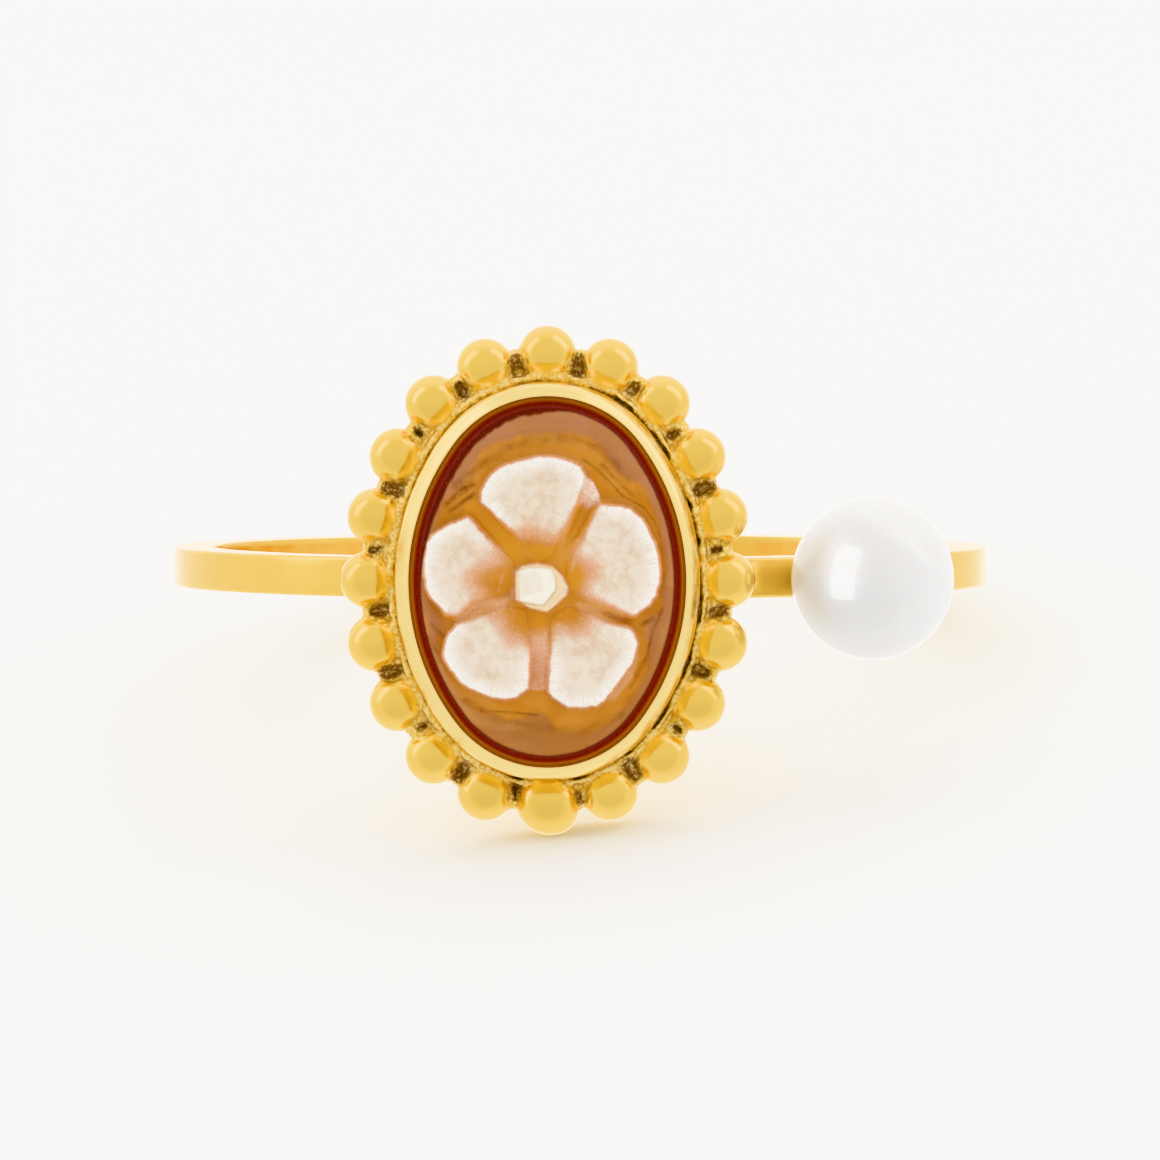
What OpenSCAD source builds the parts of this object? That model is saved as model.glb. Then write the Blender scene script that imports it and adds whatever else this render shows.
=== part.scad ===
// Cameo ring: a plain square band that carries a carved oval flower cameo in a beaded cup, and a pearl on a peg.
// The ring lies on its side on Z = 0, resting on a low bead of the cup and on the far edge of the band.

/* [Finger band] */
// Inside diameter of the band, a US size 6
finger_d = 16.5; // [16:0.1:17.5]
// Thickness of the band, from the finger outwards
band_t = 0.87; // [0.8:0.01:1]
// Width of the band, along the finger
band_w = 0.87; // [0.8:0.01:1]
// Rounding of the band's two outer edges
band_edge = 0.08; // [0.05:0.01:0.12]

/* [Cameo stone] */
// Half of the stone's width at its girdle
stone_half_w = 3; // [2.95:0.01:3.05]
// Half of the stone's length at its girdle
stone_half_l = 4; // [3.95:0.01:4.05]
// Radius of the oval's two narrow ends
oval_end_r = 2.5; // [2.45:0.01:2.55]
// Height of the upright side of the stone
girdle_t = 1.15; // [1.1:0.01:1.17]
// Width of the polished bevel round the stone, seen from the front
bevel_w = 0.3; // [0.28:0.01:0.36]
// Height that the bevel climbs
bevel_rise = 0.43; // [0.35:0.01:0.45]
// Depth to which the ground round the flower is cut below the rim of the field
ground_cut = 0.08; // [0.04:0.01:0.12]

/* [Carved flower] */
// How far the flower's middle lies left of the stone's middle
flower_left = 0.18; // [0:0.01:0.2]
// How far the flower's middle lies below the stone's middle
flower_down = 0.1; // [0:0.01:0.2]
// Height of a petal's outer rim above the ground
petal_rise = 0.36; // [0.2:0.01:0.45]
// Width of a petal's rounded outer edge
petal_edge = 0.16; // [0.1:0.01:0.2]
// Width of a petal's flank beside a groove
petal_flank = 0.26; // [0.15:0.01:0.35]
// Distance from the flower's middle at which a petal starts to rise
petal_root = 0.62; // [0.5:0.01:0.8]
// Distance over which a petal rises to its full height
petal_slope = 1.3; // [0.9:0.05:1.6]
// Distance from the middle of the five-sided boss to each of its sides
boss_r = 0.48; // [0.4:0.01:0.55]
// Height of the boss above the ground
boss_rise = 0.4; // [0.25:0.01:0.5]

/* [Cameo cup] */
// Distance from the ring's front point to the middle of the cup, to the wearer's right
head_left = 0.7; // [0:0.05:1]
// Depth to which the flat back of the cup is let into the band
head_sink = 0.17; // [0.1:0.01:0.25]
// Thickness of the cup's floor
floor_t = 0.5; // [0.4:0.01:0.55]
// Height of the rim's top above the back of the cup
cup_h = 2; // [1.98:0.01:2.1]
// Clearance between the stone and the cup
seat_gap = 0.03; // [0.02:0.005:0.04]
// Thickness of the cup's wall
cup_wall = 0.23; // [0.2:0.01:0.26]
// Overlap of the rounded rim over the stone's girdle
rim_over = 0.07; // [0.05:0.01:0.08]
// Thickness of the rounded rim
rim_t = 0.2; // [0.16:0.01:0.2]

/* [Beads] */
// Number of beads in the border
bead_count = 20; // [18:1:21]
// Diameter of a bead
bead_d = 1.22; // [1.15:0.01:1.3]
// Distance from the stone's girdle out to the line of bead centres
bead_line = 0.84; // [0.8:0.01:0.9]
// Height of the beads' undersides above the back of the cup
bead_lift = 0.02; // [0:0.01:0.06]
// Diameter of the larger bead at the foot of the cup
foot_bead_d = 1.36; // [1.22:0.01:1.4]
// How far the larger bead sits inside the line of bead centres
foot_bead_in = 0.07; // [0:0.01:0.1]
// Reach of the bridging metal beyond the line of bead centres
bridge_out = 0.13; // [0.05:0.01:0.2]
// Height of the bridging metal above the back of the cup
bridge_h = 0.6; // [0.55:0.01:0.62]

/* [Pearl] */
// Diameter of the pearl
pearl_d = 3.5; // [3:0.1:3.7]
// Angle round the band from the ring's front point to the pearl
pearl_angle = 35.25; // [33:0.25:45]
// Clearance between the pearl and the metal
pearl_gap = 0.03; // [0.02:0.005:0.05]
// Diameter of the peg
peg_d = 0.7; // [0.5:0.05:0.9]
// Length of the peg outside the band
peg_l = 2.1; // [1.5:0.1:2.3]

/* [Rest] */
// Roll towards the pearl at which the ring balances
rest_roll = 6.1; // [0:0.1:8]

/* [Hidden] */
round_fn = 96;

// The stone's outline is an oval of four arcs, and the cup, rim and bead line are parallel to it.
oval_end_off = stone_half_l - oval_end_r;
oval_side_r = (pow(stone_half_w, 2) + pow(oval_end_off, 2) - pow(oval_end_r, 2))
    / (2 * (stone_half_w - oval_end_r));
oval_side_off = oval_side_r - stone_half_w;
// Angle from the short axis to the point where a side arc meets an end arc
oval_joint = atan2(oval_end_off, oval_side_off);

band_r = finger_d / 2 + band_t;
head_back = band_r - head_sink;
wall_in = seat_gap;
wall_out = wall_in + cup_wall;
bridge_edge = bead_line + bridge_out;
// Inner limit of the swept cup, and the block that fills its middle
cup_core = 1.5;
core_block = [2 * (stone_half_w - cup_core) + 0.6, 2 * (stone_half_l - cup_core) + 0.6];

stone_base = floor_t + seat_gap;
girdle_h = stone_base + girdle_t;
field_h = girdle_h + bevel_rise;
ground_h = field_h - ground_cut;
flower_mid = [-flower_left, -flower_down];
// The ground is cut in over this distance, starting this far from the edge of the field
cut_margin = 0.1;
cut_slope = 0.35;
boss_edge = 0.12;

pearl_centre_r = band_r + pearl_d / 2 + pearl_gap;
peg_root = band_r - band_t / 2;

// Directions in which the carved face is drawn from the flower's middle, and the rings between its edges:
// the boss's flat top, its side, the petals up to their edge, that edge, and the ground out to the bevel
stone_sectors = 132;
RING_COUNTS = [2, 3, 13, 5, 8];

// One row for each petal, from the right one round to the left: a disc cut off by the grooves beside it.
// Columns: centre x, centre y and radius of the disc, from the flower's middle.
PETALS = [
    [1.34, 0.51, 1.25],
    [0.04, 1.40, 1.38],
    [-1.30, 0.34, 1.12],
    [-0.94, -1.34, 1.03],
    [0.91, -1.40, 1.13]
];
// One row for each groove, which lies clockwise of the petal in the same row above.
// Columns: direction in degrees, shift to the left of the flower's middle, half width.
GROOVES = [
    [-12, -0.27, 0.20],
    [53, 0.20, 0.15],
    [139, -0.34, 0.21],
    [191, 0.22, 0.17],
    [270, 0, 0.23]
];

function unit(a) = [cos(a), sin(a)];
function clamp01(x) = min(1, max(0, x));
function ease(x) = let (t = clamp01(x)) t * t * (3 - 2 * t);
function rounded(x) = let (t = clamp01(x)) sqrt(1 - (1 - t) * (1 - t));

// Point of the oval, or of its parallel curve at distance d, whose outward normal has the direction a
function oval_point(a, d) =
    abs(sin(a)) > sin(oval_joint)
        ? [0, oval_end_off * sign(sin(a))] + (oval_end_r + d) * unit(a)
        : [-oval_side_off * sign(cos(a)), 0] + (oval_side_r + d) * unit(a);

function end_length(d) = (oval_end_r + d) * (90 - oval_joint) * PI / 180;
function quarter_length(d) = end_length(d) + (oval_side_r + d) * oval_joint * PI / 180;
// Normal's direction at the arc length s from the top, for one quarter and for the whole curve
function quarter_normal(s, d) =
    s < end_length(d)
        ? 90 - s / (oval_end_r + d) * 180 / PI
        : (quarter_length(d) - s) / (oval_side_r + d) * 180 / PI;
function oval_normal(s, d) =
    let (q = floor(s / quarter_length(d)), t = s - q * quarter_length(d))
    q == 0 ? quarter_normal(t, d)
        : q == 1 ? -quarter_normal(quarter_length(d) - t, d)
        : q == 2 ? quarter_normal(t, d) - 180
        : 180 - quarter_normal(quarter_length(d) - t, d);

// Beads, from the top of the cup round to the right
function is_foot(i) = 2 * i == bead_count;
function bead_r(i) = (is_foot(i) ? foot_bead_d : bead_d) / 2;
function bead_h(i) = bead_r(i) + bead_lift;
function bead_at(i) =
    oval_point(
        oval_normal(4 * quarter_length(bead_line) * i / bead_count, bead_line),
        bead_line - (is_foot(i) ? foot_bead_in : 0)
    );

// The ring's own frame has the finger's axis on Z and the front of the ring towards -Y.
function head_to_ring(p, h) = [p[0] - head_left, -(head_back + h), p[1]];
// A direction of the resting ring, in the ring's own frame, for the tilt t
function to_ring(v, t) =
    let (y = v[1] * cos(t) - v[2] * sin(t), z = v[1] * sin(t) + v[2] * cos(t))
    [v[0] * cos(rest_roll) - z * sin(rest_roll), y, v[0] * sin(rest_roll) + z * cos(rest_roll)];
// Reach of the band, the beads and the cup's rim from the ring's centre in the direction v
function band_reach(v) =
    (band_r - band_edge) * norm([v[0], v[1]]) + (band_w / 2 - band_edge) * abs(v[2]) + band_edge;
function bead_reach(v) =
    max([for (i = [0 : bead_count - 1]) v * head_to_ring(bead_at(i), bead_h(i)) + bead_r(i)]);
function rim_reach(v) =
    v * head_to_ring([0, -oval_end_off], cup_h - rim_t / 2)
    + (oval_end_r + wall_out - rim_t / 2) * norm([v[0], v[2]]) + rim_t / 2;
// Tilt at which the lowest bead and the far edge of the band meet the floor together
function solve_tilt(low, high, steps) =
    let (mid = (low + high) / 2, down = to_ring([0, 0, -1], mid))
    steps == 0 ? mid
        : bead_reach(down) > band_reach(down) ? solve_tilt(mid, high, steps - 1)
        : solve_tilt(low, mid, steps - 1);

rest_tilt = solve_tilt(0, 45, 40);
rest_lift = band_reach(to_ring([0, 0, -1], rest_tilt));
front_reach = max(
    rim_reach(to_ring([0, -1, 0], rest_tilt)),
    bead_reach(to_ring([0, -1, 0], rest_tilt))
);
back_reach = band_reach(to_ring([0, 1, 0], rest_tilt));

module at_rest() {
    translate([0, (front_reach - back_reach) / 2, rest_lift])
        rotate([-rest_tilt, 0, 0])
        rotate([0, rest_roll, 0])
        children();
}

// Puts a shape of the cup, drawn with its back on Z = 0 and its front towards +Z, at the front of the ring
module on_head() {
    translate([-head_left, -head_back, 0])
        rotate([90, 0, 0])
        children();
}

// Turns a shape drawn along +X from the ring's centre to the pearl's place
module on_pearl_line() {
    rotate([0, 0, pearl_angle - 90])
        children();
}

// Sweeps a section along the stone's outline: its X is the distance from the outline, and its Y the height
module sweep_oval() {
    for (turn = [0, 180])
        rotate([0, 0, turn]) {
            translate([0, oval_end_off, 0])
                rotate([0, 0, oval_joint])
                rotate_extrude(angle = 180 - 2 * oval_joint, $fn = round_fn)
                translate([oval_end_r, 0])
                children();
            translate([-oval_side_off, 0, 0])
                rotate([0, 0, -oval_joint])
                rotate_extrude(angle = 2 * oval_joint, $fn = round_fn)
                translate([oval_side_r, 0])
                children();
        }
}

module cup_section() {
    translate([-cup_core, 0])
        square([cup_core + bridge_edge, floor_t]);
    translate([wall_in, 0])
        square([bridge_edge - wall_in, bridge_h]);
    translate([wall_in, 0])
        square([cup_wall, cup_h - rim_t / 2]);
    translate([rim_t / 2 - rim_over, cup_h - rim_t])
        square([wall_out + rim_over - rim_t, rim_t]);
    for (x = [rim_t / 2 - rim_over, wall_out - rim_t / 2])
        translate([x, cup_h - rim_t / 2])
            circle(d = rim_t, $fn = round_fn);
}

module cup() {
    sweep_oval()
        cup_section();
    translate([-core_block[0] / 2, -core_block[1] / 2, 0])
        cube([core_block[0], core_block[1], floor_t]);
}

module beads() {
    for (i = [0 : bead_count - 1])
        translate([bead_at(i)[0], bead_at(i)[1], bead_h(i)])
            sphere(r = bead_r(i), $fn = round_fn);
}

module band_section() {
    translate([finger_d / 2, -band_w / 2])
        square([band_t - band_edge, band_w]);
    translate([finger_d / 2, band_edge - band_w / 2])
        square([band_t, band_w - 2 * band_edge]);
    for (side = [-1, 1])
        translate([band_r - band_edge, side * (band_w / 2 - band_edge)])
            circle(r = band_edge, $fn = round_fn);
}

module band() {
    rotate_extrude($fn = round_fn)
        band_section();
}

module peg() {
    on_pearl_line()
        translate([peg_root, 0, 0])
        rotate([0, 90, 0])
        cylinder(d = peg_d, h = band_r + peg_l - peg_root, $fn = round_fn);
}

module setting() {
    color("goldenrod")
        at_rest()
        union() {
            band();
            on_head() {
                cup();
                beads();
            }
            peg();
        }
}

// Distance from the point p to the left of a groove's middle line
function left_of(p, groove) = p * [-sin(groove[0]), cos(groove[0])] - groove[1];
function disc_centre(k) = [PETALS[k][0], PETALS[k][1]];
// Part of the full height that petal k has at p: its disc's rounded edge, and a flank along each groove
function petal_share(p, k) =
    let (before = GROOVES[k], after = GROOVES[(k + 1) % len(GROOVES)])
    rounded((PETALS[k][2] - norm(p - disc_centre(k))) / petal_edge)
    * ease((left_of(p, before) - before[2]) / petal_flank + 0.5)
    * ease((-left_of(p, after) - after[2]) / petal_flank + 0.5);
function petal_height(p) =
    petal_rise * ease((norm(p) - petal_root) / petal_slope)
    * max([for (k = [0 : len(PETALS) - 1]) petal_share(p, k)]);
// Greatest reach of the point p towards one of the boss's five sides
function side_reach(p) = max([for (side = [0 : 4]) p * unit(36 + 72 * side)]);
function boss_height(p) = boss_rise * rounded((boss_r - side_reach(p)) / boss_edge);
// Height of the carved face at the point p from the flower's middle, at the given distance from the field's edge
function face_height(p, from_edge) =
    field_h - ground_cut * ease((from_edge - cut_margin) / cut_slope)
    + max(petal_height(p), boss_height(p));

// Distance in the direction of the unit vector u to where the farthest petal's disc ends
function disc_reach(u) =
    max([
        for (k = [0 : len(PETALS) - 1])
            let (along = u * disc_centre(k))
            along + sqrt(max(0, pow(PETALS[k][2], 2) - pow(norm(disc_centre(k)), 2) + pow(along, 2)))
    ]);
// Distances of the face's rings from the flower's middle along u, where the field ends at the distance edge
function ring_radii(u, edge) =
    let (
        boss = boss_r / side_reach(u),
        petal = min(disc_reach(u), edge - cut_margin),
        stops = [0, boss - boss_edge, boss, petal - petal_edge, petal, edge]
    )
    [
        for (i = [0 : len(RING_COUNTS) - 1], k = [1 : RING_COUNTS[i]])
            stops[i] + (stops[i + 1] - stops[i]) * k / RING_COUNTS[i]
    ];

// Points of the carved stone: the middle of its face, rings out to the bevel, the girdle, and the middle of its back
stone_normals = [
    for (j = [0 : stone_sectors - 1])
        oval_normal(4 * quarter_length(-bevel_w) * j / stone_sectors, -bevel_w)
];
face_rays = [for (a = stone_normals) oval_point(a, -bevel_w) - flower_mid];
face_radii = [for (ray = face_rays) ring_radii(ray / norm(ray), norm(ray))];
stone_rings = len(face_radii[0]);
stone_points = concat(
    [[flower_mid[0], flower_mid[1], ground_h + boss_rise]],
    [
        for (k = [0 : stone_rings - 1], j = [0 : stone_sectors - 1])
            let (
                r = face_radii[j][k],
                p = r * face_rays[j] / norm(face_rays[j]),
                h = face_height(p, norm(face_rays[j]) - r)
            )
            [flower_mid[0] + p[0], flower_mid[1] + p[1], h]
    ],
    [for (a = stone_normals) let (p = oval_point(a, 0)) [p[0], p[1], girdle_h]],
    [for (a = stone_normals) let (p = oval_point(a, 0)) [p[0], p[1], stone_base]],
    [[0, 0, stone_base]]
);
stone_back = len(stone_points) - 1;
function stone_index(ring, j) = 1 + ring * stone_sectors + j % stone_sectors;
stone_faces = concat(
    [for (j = [0 : stone_sectors - 1]) [0, stone_index(0, j + 1), stone_index(0, j)]],
    [
        for (ring = [0 : stone_rings], j = [0 : stone_sectors - 1], half = [0, 1])
            half == 0
                ? [stone_index(ring, j), stone_index(ring, j + 1), stone_index(ring + 1, j)]
                : [stone_index(ring, j + 1), stone_index(ring + 1, j + 1), stone_index(ring + 1, j)]
    ],
    [
        for (j = [0 : stone_sectors - 1])
            [stone_back, stone_index(stone_rings + 1, j), stone_index(stone_rings + 1, j + 1)]
    ]
);

module cameo() {
    color("sandybrown")
        at_rest()
        on_head()
        polyhedron(points = stone_points, faces = stone_faces, convexity = 4);
}

module pearl() {
    color("whitesmoke")
        at_rest()
        on_pearl_line()
        difference() {
            translate([pearl_centre_r, 0, 0])
                sphere(d = pearl_d, $fn = round_fn);
            translate([band_r - pearl_gap, 0, 0])
                rotate([0, 90, 0])
                cylinder(d = peg_d + 2 * pearl_gap, h = peg_l + 2 * pearl_gap, $fn = round_fn);
        }
}

setting();
cameo();
pearl();
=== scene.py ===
"""Looks of the cameo ring: the polished band, the beaded cup, the carved stone and the pearl.

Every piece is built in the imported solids' own frame, from the same sizes as they are.
"""

import math

import bpy
import numpy as np
from mathutils import Matrix, Vector


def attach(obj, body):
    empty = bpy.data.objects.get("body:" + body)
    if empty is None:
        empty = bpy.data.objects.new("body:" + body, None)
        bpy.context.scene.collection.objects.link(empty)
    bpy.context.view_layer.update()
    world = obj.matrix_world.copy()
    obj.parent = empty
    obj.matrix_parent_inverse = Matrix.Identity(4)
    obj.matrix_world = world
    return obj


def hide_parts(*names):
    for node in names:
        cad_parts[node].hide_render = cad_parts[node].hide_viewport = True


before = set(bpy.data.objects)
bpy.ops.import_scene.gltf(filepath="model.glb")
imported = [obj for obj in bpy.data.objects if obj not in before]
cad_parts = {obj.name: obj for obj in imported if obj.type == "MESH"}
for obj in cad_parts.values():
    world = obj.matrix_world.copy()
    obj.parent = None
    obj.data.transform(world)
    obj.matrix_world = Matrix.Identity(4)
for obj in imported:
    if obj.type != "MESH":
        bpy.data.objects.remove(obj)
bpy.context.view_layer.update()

# Lengths are millimetres until a point goes into a mesh, and these values are the CAD source's own.
MM = 0.001
# Band: inside diameter, thickness, width, rounding of the outer edges, and outside radius
FINGER_D, BAND_T, BAND_W, BAND_EDGE = 16.5, 0.87, 0.87, 0.08
BAND_R = FINGER_D / 2 + BAND_T
# The stone's oval of four arcs: half length, radius and offset of the end arcs, the same of the side arcs,
# and the direction in which they join
HALF_L, END_R = 4.0, 2.5
END_OFF = HALF_L - END_R
SIDE_R, SIDE_OFF = 5.0, 2.0
JOINT = math.atan2(END_OFF, SIDE_OFF)
BEVEL_W = 0.3
# The cup's place, and its heights and walls above its flat back
HEAD_LEFT, HEAD_BACK = 0.7, BAND_R - 0.17
FLOOR_T, CUP_H, SEAT_GAP, WALL_OUT = 0.5, 2.0, 0.03, 0.26
RIM_OVER, RIM_T = 0.07, 0.2
STONE_BASE, GIRDLE_H, FIELD_H = 0.53, 1.68, 2.11
# Beads: how many, radius, distance of their line from the stone, lift, and the larger bead at the foot
BEADS, BEAD_R, BEAD_LINE, BEAD_LIFT = 20, 0.61, 0.84, 0.02
FOOT_R, FOOT_IN = 0.68, 0.07
PEARL_R, PEARL_ANGLE, PEARL_GAP = 1.75, math.radians(35.25), 0.03
PEG_R, PEG_L = 0.35, 2.1
# How the ring lies at rest
REST_TILT, REST_ROLL = math.radians(14.2353), math.radians(6.1)
RING_CENTRE = Vector((0.0, 1.34351, 2.83227))

REST_TURN = Matrix.Rotation(-REST_TILT, 3, "X") @ Matrix.Rotation(REST_ROLL, 3, "Y")
REST_ROWS = np.array(REST_TURN).T


# ---- Places ----


def ring_to_world(p):
    """Points of the ring's own frame, with the finger along Z and the front towards -Y, as metres at rest."""
    return (np.asarray(p, float) @ REST_ROWS + np.array(RING_CENTRE)) * MM


def head_to_world(p):
    """Points of the cup's frame: right, up, and height above the cup's flat back."""
    p = np.asarray(p, float)
    return ring_to_world(np.stack([p[:, 0] - HEAD_LEFT, -(HEAD_BACK + p[:, 2]), p[:, 1]], 1))


def oval_point(a, d):
    """Points of the stone's outline, moved out by d, whose outward normals have the directions a."""
    a = np.asarray(a, float)
    end = np.abs(np.sin(a)) > math.sin(JOINT)
    cx = np.where(end, 0.0, -SIDE_OFF * np.sign(np.cos(a)))
    cy = np.where(end, END_OFF * np.sign(np.sin(a)), 0.0)
    r = np.where(end, END_R, SIDE_R) + d
    return np.stack([cx + r * np.cos(a), cy + r * np.sin(a)], -1)


def oval_distance(x, y):
    """Distance outside the stone's outline, and the outward normal's direction."""
    qx, qy = np.abs(x), np.abs(y)
    end = -math.sin(JOINT) * qx + math.cos(JOINT) * (qy - END_OFF) > 0
    dx = np.where(end, qx, qx + SIDE_OFF)
    dy = np.where(end, qy - END_OFF, qy)
    d = np.hypot(dx, dy) - np.where(end, END_R, SIDE_R)
    return d, np.arctan2(dy * np.sign(y), dx * np.sign(x))


def quarter_length(d):
    """Length of a quarter of the outline moved out by d."""
    return (END_R + d) * (math.pi / 2 - JOINT) + (SIDE_R + d) * JOINT


def even_normals(count, d, start=0.0):
    """Directions of the normals at equal steps along the outline moved out by d, clockwise from the top."""
    q = quarter_length(d)
    s = (np.arange(count) + start) / count * 4 * q
    quarter = np.floor(s / q).astype(int) % 4
    t = s % q
    t = np.where(quarter % 2 == 0, t, q - t)
    end = (END_R + d) * (math.pi / 2 - JOINT)
    a = np.where(t < end, math.pi / 2 - t / (END_R + d), (q - t) / (SIDE_R + d))
    return np.select([quarter == 0, quarter == 1, quarter == 2], [a, -a, a - math.pi], math.pi - a)


def bead_centres():
    """Centre and radius of each bead in the cup's frame, clockwise from the top."""
    rows = []
    for i, a in enumerate(even_normals(BEADS, BEAD_LINE)):
        foot = 2 * i == BEADS
        r = FOOT_R if foot else BEAD_R
        x, y = oval_point(a, BEAD_LINE - (FOOT_IN if foot else 0.0))
        rows.append([x, y, r + BEAD_LIFT, r])
    return np.array(rows)


BEAD_ROWS = bead_centres()
# More than any distance that is measured here
FAR = 9.0


# ---- Numbers ----


def ease(x):
    """A soft step from 0 to 1."""
    t = np.clip(x, 0, 1)
    return t * t * (3 - 2 * t)


def rounded(x):
    """A quarter circle from 0 to 1."""
    t = np.clip(x, 0, 1)
    return np.sqrt(1 - (1 - t) ** 2)


def smooth_min(a, b, k):
    """The lesser of two distances, run together over k."""
    h = np.clip(0.5 + 0.5 * (b - a) / k, 0, 1)
    return b * (1 - h) + a * h - k * h * (1 - h)


def lattice(ix, iy, iz, seed):
    """A repeatable value from -1 to 1 for each whole-number point."""
    n = (ix * 73856093) ^ (iy * 19349663) ^ (iz * 83492791) ^ (seed * 2654435761)
    n = (n ^ (n >> 13)) * 1274126177
    n = (n ^ (n >> 16)) & 0xFFFF
    return n / 32767.5 - 1


def noise(x, y, z, seed):
    """Smooth value noise from -1 to 1."""
    fx, fy, fz = np.floor(x), np.floor(y), np.floor(z)
    ix, iy, iz = fx.astype(np.int64), fy.astype(np.int64), fz.astype(np.int64)
    tx, ty, tz = ease(x - fx), ease(y - fy), ease(z - fz)
    total = 0.0
    for dx, dy, dz in np.ndindex(2, 2, 2):
        w = (tx if dx else 1 - tx) * (ty if dy else 1 - ty) * (tz if dz else 1 - tz)
        total = total + w * lattice(ix + dx, iy + dy, iz + dz, seed)
    return total


# ---- Meshes ----


def grid_faces(rows, cols):
    """Quads between the rows of a grid of points, each row closed on itself."""
    r, c = np.meshgrid(np.arange(rows - 1), np.arange(cols), indexing="ij")
    n = (c + 1) % cols
    quads = np.stack([r * cols + c, r * cols + n, (r + 1) * cols + n, (r + 1) * cols + c], -1)
    return quads.reshape(-1, 4)


def fan(middle, first, count):
    """Triangles between one point and the closed row of count points that starts at first."""
    c = np.arange(count)
    return np.stack([np.full(count, middle), first + c, first + (c + 1) % count], 1)


def capped(rows, start, end):
    """Points, quads and triangles of a closed form: equal rows of points, with a middle point at each end."""
    count, total = len(rows[0]), len(rows) * len(rows[0])
    caps = [fan(total, 0, count)[:, ::-1], fan(total + 1, total - count, count)]
    return np.concatenate([*rows, [start, end]]), grid_faces(len(rows), count), np.concatenate(caps)


def make_piece(name, points, quads, triangles, node, slot, material, **attributes):
    """A smooth-shaded mesh in the row frame that rides on the ring and stands for a CAD node."""
    mesh = bpy.data.meshes.new(name)
    mesh.vertices.add(len(points))
    mesh.vertices.foreach_set("co", np.ascontiguousarray(points, np.float32).ravel())
    loops = [np.asarray(f, np.int32).ravel() for f in (quads, triangles) if len(f)]
    sizes = [np.full(len(f), k, np.int32) for f, k in ((quads, 4), (triangles, 3)) if len(f)]
    loops, sizes = np.concatenate(loops), np.concatenate(sizes)
    mesh.loops.add(len(loops))
    mesh.loops.foreach_set("vertex_index", loops)
    mesh.polygons.add(len(sizes))
    mesh.polygons.foreach_set("loop_start", np.concatenate([[0], np.cumsum(sizes)[:-1]]).astype(np.int32))
    mesh.polygons.foreach_set("loop_total", sizes)
    mesh.polygons.foreach_set("use_smooth", np.ones(len(sizes), bool))
    for key, values in attributes.items():
        values = np.asarray(values, np.float32)
        kind = "FLOAT" if values.ndim == 1 else "FLOAT_VECTOR"
        field = "value" if values.ndim == 1 else "vector"
        mesh.attributes.new(key, kind, "POINT").data.foreach_set(field, values.ravel())
    mesh.update(calc_edges=True)
    mesh.validate()
    mesh.materials.append(material)
    piece = bpy.data.objects.new(name, mesh)
    bpy.context.scene.collection.objects.link(piece)
    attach(piece, "root")
    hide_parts(node)


def surface_net(values, low, step):
    """Quads of the surface on which a grid of signed distances is zero, facing outwards."""
    shape = tuple(n - 1 for n in values.shape)
    total = np.zeros(shape + (3,))
    count = np.zeros(shape)
    corners = [np.array(c) for c in np.ndindex(2, 2, 2)]

    def at(c):
        return values[c[0] : c[0] + shape[0], c[1] : c[1] + shape[1], c[2] : c[2] + shape[2]]

    for a in corners:
        for axis in range(3):
            if a[axis] == 0:
                b = a.copy()
                b[axis] = 1
                va, vb = at(a), at(b)
                cross = (va < 0) != (vb < 0)
                t = np.where(cross, va / np.where(cross, va - vb, 1), 0)
                count += cross
                for k in range(3):
                    total[..., k] += cross * (a[k] + (t if k == axis else 0))
    used = count > 0
    index = np.full(shape, -1)
    index[used] = np.arange(used.sum())
    cells = np.argwhere(used)
    points = (cells + total[used] / count[used][:, None]) * step + low
    faces = []
    for axis in range(3):
        u, v = (axis + 1) % 3, (axis + 2) % 3
        first = np.take(values, np.arange(values.shape[axis] - 1), axis) < 0
        second = np.take(values, np.arange(1, values.shape[axis]), axis) < 0
        for sign, mask in ((1, first & ~second), (-1, ~first & second)):
            e = np.argwhere(mask)
            e = e[(e[:, u] > 0) & (e[:, v] > 0) & (e[:, u] < shape[u]) & (e[:, v] < shape[v])]
            ring = []
            for du, dv in ((1, 1), (0, 1), (0, 0), (1, 0)):
                c = e.copy()
                c[:, u] -= du
                c[:, v] -= dv
                ring.append(index[tuple(c.T)])
            faces.append(np.stack(ring, 1)[:, ::sign])
    return points, np.concatenate(faces)


def gradient(f, p, eps=0.004):
    """How f rises along each axis."""
    g = np.zeros_like(p)
    for k in range(3):
        q = p.copy()
        q[:, k] += eps
        up = f(q)
        q[:, k] -= 2 * eps
        g[:, k] = (up - f(q)) / (2 * eps)
    return g


def settle(f, p, rounds):
    """Moves points near a surface onto it."""
    for _ in range(rounds):
        g = gradient(f, p)
        square = np.maximum((g * g).sum(1), 0.2)
        p = p - np.clip(f(p) / square, -0.05, 0.05)[:, None] * g
    return p


# ---- Materials ----


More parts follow.
